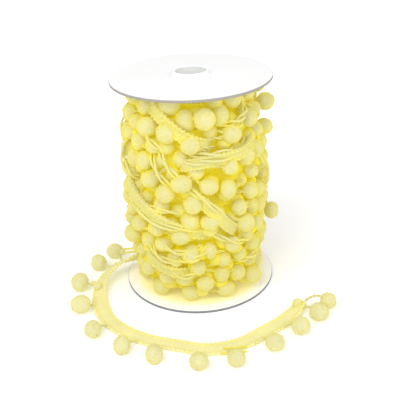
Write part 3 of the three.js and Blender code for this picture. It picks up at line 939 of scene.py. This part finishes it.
def yarn_material(name, tip, deep, bump, fibre, clump, side=0.0, glow=YARN_GLOW):
    """Soft yarn with a fibre grain and a golden glow for the light that comes through it.

    Painted shade makes it deeper in colour where it is shut in and, by the amount side, where the pile is
    seen from its side.
    """
    material, tree, shader = new_material(name, tip, 0.95)
    shader.inputs["Specular IOR Level"].default_value = 0.05
    shader.inputs["Sheen Weight"].default_value = 0.12
    shader.inputs["Sheen Roughness"].default_value = 0.6
    shader.inputs["Sheen Tint"].default_value = (1, 0.97, 0.8, 1)
    shader.inputs["Emission Strength"].default_value = glow
    place = node(tree, "ShaderNodeTexCoord")
    grain = node(tree, "ShaderNodeGroup", node_tree=groups["grain"])
    grain.inputs["Fibre"].default_value = fibre
    grain.inputs["Clump"].default_value = clump
    tree.links.new(place.outputs["Object"], grain.inputs["Vector"])
    # Painted shade: the crevice attribute, and the pile's side as the view meets it, turn the colour deep
    # golden
    shut = node(tree, "ShaderNodeAttribute", attribute_name="crevice", attribute_type="GEOMETRY")
    colour = node(tree, "ShaderNodeGroup", node_tree=groups["colour"])
    colour.inputs["Tip"].default_value = (*tip, 1)
    colour.inputs["Deep"].default_value = (*deep, 1)
    tree.links.new(grain.outputs["Mask"], colour.inputs["Mask"])
    edge = node(tree, "ShaderNodeLayerWeight", {"Blend": 0.6})
    seen = node(tree, "ShaderNodeMath",
                {0: edge.outputs["Facing"], 1: side, 2: shut.outputs["Fac"]}, operation="MULTIPLY_ADD")
    tree.links.new(seen.outputs[0], colour.inputs["Crevice"])
    tree.links.new(colour.outputs["Color"], shader.inputs["Base Color"])
    tree.links.new(colour.outputs["Color"], shader.inputs["Emission Color"])
    relief = node(tree, "ShaderNodeBump",
                  {"Height": grain.outputs["Height"], "Strength": 0.6, "Distance": bump})
    tree.links.new(relief.outputs["Normal"], shader.inputs["Normal"])
    return material


def near_yarn_group():
    """How near a place on the lower board is to the yarn, for its painted yellow light: 1 under the pack, and
    0 towards the rim.
    """
    group, given, out = new_group(
        "near_yarn",
        [("Vector", "NodeSocketVector", None), ("Inner", "NodeSocketFloat", 0.033),
         ("Outer", "NodeSocketFloat", 0.039)],
        [("Mask", "NodeSocketFloat")],
    )
    flat = node(group, "ShaderNodeVectorMath",
                {0: given.outputs["Vector"], 1: (1.0, 1.0, 0.0)}, operation="MULTIPLY")
    far = node(group, "ShaderNodeVectorMath",
               {0: flat.outputs["Vector"], 1: tuple(AXIS * MM)}, operation="DISTANCE")
    near = node(group, "ShaderNodeMapRange",
                {"Value": far.outputs["Value"], "From Min": given.outputs["Inner"],
                 "From Max": given.outputs["Outer"], "To Min": 1.0, "To Max": 0.0},
                interpolation_type="SMOOTHSTEP")
    group.links.new(near.outputs["Result"], out.inputs["Mask"])
    return group


def board_material(name, color, roughness, grain, contrast, bump, lit=None):
    """Coated board or plastic with a faint mottle and a fine tooth. Given lit, it gets painted light: yellow
    where the yarn lights it, and a faint grey glow elsewhere.
    """
    material, tree, shader = new_material(name, color, roughness)
    place = node(tree, "ShaderNodeTexCoord")
    mottle = node(tree, "ShaderNodeTexNoise",
                  {"Vector": place.outputs["Object"], "Scale": grain, "Detail": 4.0})
    tone = node(tree, "ShaderNodeMapRange",
                {"Value": mottle.outputs["Fac"], "From Min": 0.3, "From Max": 0.7,
                 "To Min": 1 - contrast, "To Max": 1.0})
    base = node(tree, "ShaderNodeVectorMath",
                {0: color, "Scale": tone.outputs["Result"]}, operation="SCALE")
    colour = base.outputs["Vector"]
    # Painted light on the board: yellow in colour and glow near the yarn, and a faint grey glow further out
    if lit:
        near = node(tree, "ShaderNodeGroup", node_tree=groups["near"])
        tree.links.new(place.outputs["Object"], near.inputs["Vector"])
        blend = node(tree, "ShaderNodeMix", {"Factor": near.outputs["Mask"], "A": colour, "B": (*lit, 1)},
                     data_type="RGBA")
        glow = node(tree, "ShaderNodeMix",
                    {"Factor": near.outputs["Mask"], "A": (0.5, 0.5, 0.5, 1), "B": (*lit, 1)},
                    data_type="RGBA")
        colour = blend.outputs["Result"]
        tree.links.new(glow.outputs["Result"], shader.inputs["Emission Color"])
        shader.inputs["Emission Strength"].default_value = BOARD_GLOW
    tree.links.new(colour, shader.inputs["Base Color"])
    relief = node(tree, "ShaderNodeBump",
                  {"Height": mottle.outputs["Fac"], "Strength": 0.3, "Distance": bump})
    tree.links.new(relief.outputs["Normal"], shader.inputs["Normal"])
    return material


# Setting


def make_floor():
    """A pale sweep under the object, with painted light: it glows, faintly near the object and more away from
    it.
    """
    mesh = bpy.data.meshes.new("floor")
    corners = [(x * FLOOR_HALF, y * FLOOR_HALF, 0) for x, y in ((-1, -1), (1, -1), (1, 1), (-1, 1))]
    mesh.from_pydata(corners, [], [(0, 1, 2, 3)])
    floor = bpy.data.objects.new("floor", mesh)
    bpy.context.collection.objects.link(floor)
    floor.location.z = -FLOOR_DROP
    material, tree, shader = new_material("pale_floor", (0.93, 0.93, 0.94), 0.7)
    place = node(tree, "ShaderNodeTexCoord")
    far = node(tree, "ShaderNodeVectorMath", {0: place.outputs["Object"]}, operation="LENGTH")
    glow = node(tree, "ShaderNodeMapRange",
                {"Value": far.outputs["Value"], "From Min": FLOOR_GLOW_REACH[0],
                 "From Max": FLOOR_GLOW_REACH[1], "To Min": FLOOR_GLOW[0], "To Max": FLOOR_GLOW[1]})
    tree.links.new(glow.outputs["Result"], shader.inputs["Emission Color"])
    shader.inputs["Emission Strength"].default_value = 1.0
    mesh.materials.append(material)


def make_light(name, place, size, power):
    """A soft square light that faces the object's middle."""
    light = bpy.data.lights.new(name, "AREA")
    light.energy = power
    light.size = size
    lamp = bpy.data.objects.new(name, light)
    bpy.context.collection.objects.link(lamp)
    lamp.location = place
    aim = Matrix.Translation(LIGHT_AIM).translation - lamp.location
    lamp.rotation_euler = aim.to_track_quat("-Z", "Y").to_euler()


def make_camera():
    """The camera, from the photograph's viewing angle: turned left, tipped down and rolled a little."""
    forward = np.array([
        math.sin(-CAMERA_LEFT) * math.cos(CAMERA_DOWN),
        math.cos(CAMERA_LEFT) * math.cos(CAMERA_DOWN),
        -math.sin(CAMERA_DOWN),
    ])
    level = np.array([math.cos(CAMERA_LEFT), math.sin(CAMERA_LEFT), 0])
    upright = np.cross(level, forward)
    c, s = math.cos(CAMERA_ROLL), math.sin(CAMERA_ROLL)
    right, up = c * level + s * upright, c * upright - s * level
    camera = bpy.data.objects.new("camera", bpy.data.cameras.new("camera"))
    camera.data.lens = CAMERA_LENS
    camera.data.clip_start = 0.01
    turn = Matrix(np.stack([right, up, -forward], axis=1).tolist())
    eye = (np.array([0, -CAMERA_BACK, CAMERA_HEIGHT]) + AXIS) * MM
    camera.matrix_world = Matrix.Translation(eye.tolist()) @ turn.to_4x4()
    bpy.context.collection.objects.link(camera)
    bpy.context.scene.camera = camera


def make_setting():
    """Floor, lights, surroundings and colour handling."""
    make_floor()
    make_light("key", *KEY_LIGHT)
    make_light("fill", *FILL_LIGHT)
    world = bpy.data.worlds.new("surroundings")
    bpy.context.scene.world = world
    world.use_nodes = True
    world.node_tree.nodes["Background"].inputs["Color"].default_value = (1, 1, 1, 1)
    world.node_tree.nodes["Background"].inputs["Strength"].default_value = SURROUNDINGS
    bpy.context.scene.view_settings.view_transform = "Standard"


# The object


def make_pack(materials):
    """The wound trim: its outer and inner pompoms, wound and crossing braid, cords and threads."""
    centres, proud = settled_places()
    rng = np.random.default_rng(SEEDS["sizes"])
    radii = POMPOM_RADIUS * PILE_GROWTH * rng.uniform(*SIZE_SHARES, len(centres))
    make_outer_pompoms(centres, radii, proud, materials["pile"])
    make_inner_pompoms(centres, radii, materials["pile"])
    make_wound_braid(centres, radii, materials)
    cords = two_ply(cord_lines(), apart=0.95, radius=0.68, turns=1.2)
    yarn_piece("pack_cords", cords, materials["thread"], centres, radii, "wound_trim")
    make_pack_threads(centres, radii, materials["thread"])


def make_outer_pompoms(centres, radii, proud, pile):
    """The outer pompoms: those set in the pack, in bands of height, and each proud one by itself."""
    inside = np.flatnonzero(~proud)
    for k, own in enumerate(np.array_split(inside[np.argsort(centres[inside, 2])], BANDS)):
        seed = SEEDS["bands"] + k
        part = pompom_parts(centres[own], radii[own], own, centres, radii, seed, PACK_FLOOR)
        pile_piece(f"pack_pompoms_{k + 1}", part, pile, "wound_trim")
    for k, own in enumerate(np.flatnonzero(proud)[:, None]):
        seed = SEEDS["proud"] + k
        part = pompom_parts(centres[own], radii[own], own, centres, radii, seed, PACK_FLOOR)
        pile_piece(f"proud_pompom_{k + 1:02d}", part, pile, f"pack_pompom_{k + 1:02d}")


def make_inner_pompoms(centres, radii, pile):
    """Pompoms of the layer below, which show in the gaps between the outer ones."""
    rng = np.random.default_rng(SEEDS["inner_places"])
    share = (np.arange(INNER_POMPOMS) + 0.5) / INNER_POMPOMS
    z = LOWEST_POMPOM + (HIGHEST_POMPOM - LOWEST_POMPOM) * share + rng.uniform(-2, 2, INNER_POMPOMS)
    z = np.clip(z, LOWEST_POMPOM, HIGHEST_POMPOM)
    out = pack_radius(z) - rng.uniform(*INNER_DEPTHS, INNER_POMPOMS)
    inner = pack_points(GOLDEN_ANGLE * np.arange(INNER_POMPOMS), z, out)
    inner_radii = POMPOM_RADIUS * rng.uniform(*INNER_SHARES, INNER_POMPOMS)
    part = pompom_parts(inner, inner_radii, np.arange(INNER_POMPOMS), np.vstack([inner, centres]),
                        np.concatenate([inner_radii, radii]), SEEDS["inner"], PACK_FLOOR, INNER_GRID, 0)
    pile_piece("pack_pompoms_inner", part, pile, "wound_trim")


def make_wound_braid(centres, radii, materials):
    """The braid on the spool: the wound turns under the pompoms, and the turns that cross over them."""
    turns = wound_turns()
    wound = yarn_piece("pack_braid", turns, materials["under"], centres, radii, "wound_trim")
    crossings = [crossing_turn(row) for row in CROSSINGS]
    over = yarn_piece("crossing_braid", joined(crossings), materials["wound"], centres, radii, "wound_trim")


def make_pack_threads(centres, radii, thread):
    """A doubled thread from each outer pompom to the braid beside it."""
    rng = np.random.default_rng(SEEDS["threads"])
    degrees = np.degrees(np.arctan2(centres[:, 0], -centres[:, 1]))
    way = rng.choice([-1, 1], len(centres))
    to_turn = degrees + way * rng.uniform(*THREAD_TURNS, len(centres))
    to_z = np.clip(centres[:, 2] + rng.uniform(-6, 8, len(centres)), PACK_BOTTOM + 2, PACK_TOP - 2)
    root = pack_points(to_turn, to_z, pack_radius(to_z) - 2.5)
    bend = (root + centres) / 2 * np.array([1.12, 1.12, 1])
    threads = two_ply(bowed(centres, bend, root, 20), apart=0.5, radius=0.38, turns=1.5)
    yarn_piece("pack_threads", threads, thread, centres, radii, "wound_trim")


def pile_piece(name, part, material, cad_node):
    """A piece of one pompom or of several, in the place of a CAD node."""
    piece = make_piece(name, part["points"], [part["quads"], part["tris"]], [material], part["shade"])
    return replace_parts(piece, cad_node)


def yarn_piece(name, part, material, centres, radii, cad_node):
    """A braid or thread piece, shaded where it is shut in and in its own grooves."""
    shade = 1 - (1 - crevice_shade(part["points"][None], centres, radii)) * (1 - part["groove"])
    piece = make_piece(name, part["points"], [part["quads"], part["tris"]], [material],
                       shade, part["uv"])
    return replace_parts(piece, cad_node)


def make_tail(materials):
    """The loose end: its braid, and each pompom with its thread."""
    part = tail_braid_part()
    braid = yarn_piece("loose_braid", part, materials["braid"], *NOTHING_NEAR, "tail_braid")
    middle, across, _, half = tail_frame(np.arange(TAIL_STEPS + 1) / TAIL_STEPS)
    edge = middle + across * half * THREAD_ROOT
    radii = TAIL_POMPOMS[:, 2] / 2
    centres = np.column_stack([TAIL_POMPOMS[:, :2], np.sqrt(radii**2 - FLAT_SPOT**2)])
    for k, own in enumerate(np.arange(len(radii))[:, None]):
        number = f"{k + 1:02d}"
        ball = pompom_parts(centres[own], radii[own], own, centres, radii, SEEDS["loose"] + k,
                            STANDING_FLOOR, fibres=LOOSE_FIBRES)
        pile_piece("loose_pompom_" + number, ball, materials["loose"], "tail_pompom_" + number)
        root = edge[np.argmin(np.linalg.norm(edge - centres[k], axis=1))]
        bend = (root + centres[k]) / 2
        bend[2] = max(root[2], centres[k][2]) + TAIL_POMPOMS[k, 3]
        thread = two_ply(bowed(root[None], bend[None], centres[own], 24))
        yarn_piece("loose_thread_" + number, thread, materials["thread"], *NOTHING_NEAR,
                   "tail_pompom_" + number)


def make_knots(materials):
    """Knots, cords and the curled, cut end: small lumps and lines of yarn that belong to the loose end."""
    radii = KNOTS[:, 3] / 2
    centres, own = KNOTS[:, :3], np.arange(len(KNOTS))
    part = pompom_parts(centres, radii, own, centres, radii, SEEDS["knots"], STANDING_FLOOR, INNER_GRID,
                        KNOT_FIBRES)
    pile_piece("loose_knots", part, materials["loose"], "tail_braid")
    start, bend, stop = LOOSE_CORDS.transpose(1, 0, 2)
    cords = two_ply(bowed(start, bend, stop, 40), apart=0.3, radius=0.34, turns=5)
    # Painted shade: the loose cords are half shaded all along their length
    cords["groove"] = np.full(len(cords["points"]), 0.5)
    yarn_piece("loose_cords", cords, materials["thread"], *NOTHING_NEAR, "tail_braid")


def make_spool():
    """The core and both flanges. The lower board has painted light: yellow from the yarn that stands over it,
    and a faint glow.
    """
    smooth = {"roughness": 0.45, "grain": 60.0, "contrast": 0.015, "bump": 0.00003}
    cut = {"roughness": 0.8, "grain": 900.0, "contrast": 0.12, "bump": 0.00008}
    moulded = {"grain": 200.0, "contrast": 0.01, "bump": 0.00002}
    board = board_material("white_board", WHITE, **smooth)
    lit_board = board_material("yarn_lit_board", WHITE, lit=(0.95, 0.90, 0.52), **smooth)
    edge = board_material("board_edge", (0.38, 0.36, 0.31), **cut)
    # The lower board's cut edge: grey board, painted darker and bluer than the upper edge for the shadow
    # under it
    low_edge_and_shadow = board_material("lower_board_edge_and_painted_shadow", (0.24, 0.245, 0.27), **cut)
    plastic = board_material("white_plastic", (0.96, 0.96, 0.955), 0.35, **moulded)
    # Painted shade: the bore's plastic is darker than the rest of the core
    bore_shade = board_material("bore_plastic_painted_shade", (0.80, 0.81, 0.785), 0.5, **moulded)
    core_piece(plastic, bore_shade)
    flange_piece("lower_flange_board", "bottom_flange", 0.0, lit_board, low_edge_and_shadow)
    flange_piece("upper_flange_board", "top_flange", SPOOL_HEIGHT - FLANGE_THICKNESS, board, edge)


def make_yarns():
    """Every yarn finish, by the piece that wears it."""
    pile = {"bump": 0.0004, "fibre": 1500.0, "clump": 700.0}
    braid = {"bump": 0.0002, "fibre": 2600.0, "clump": 1200.0}
    thread = {"bump": 0.0001, "fibre": 3000.0, "clump": 1500.0}
    return {
        # Painted light and shade: the loose pompoms are a paler copy of the pile that glows more; of the one
        # braid yarn, the loose end's copy is paler and the turns under the pompoms deeper golden
        "pile": yarn_material("pompom_pile", LEMON, GOLD, side=0.4, **pile),
        "loose": yarn_material("loose_pompom_pile", PALE_LEMON, GOLD, side=0.3, glow=LOOSE_GLOW, **pile),
        "braid": yarn_material("loose_braid_yarn", (0.72, 0.69, 0.40), GOLD, **braid),
        "under": yarn_material("under_braid_yarn", (0.64, 0.57, 0.14), GOLD, **braid),
        "wound": yarn_material("wound_braid_yarn", (0.60, 0.56, 0.25), CORD_DEEP, **braid),
        "thread": yarn_material("thread_yarn", (0.62, 0.58, 0.25), CORD_DEEP, side=0.2, **thread),
    }


groups = {"grain": fibre_grain_group(), "colour": yarn_colour_group(), "near": near_yarn_group()}
yarns = make_yarns()
make_camera()
make_setting()
make_pack(yarns)
make_tail(yarns)
make_knots(yarns)
make_spool()
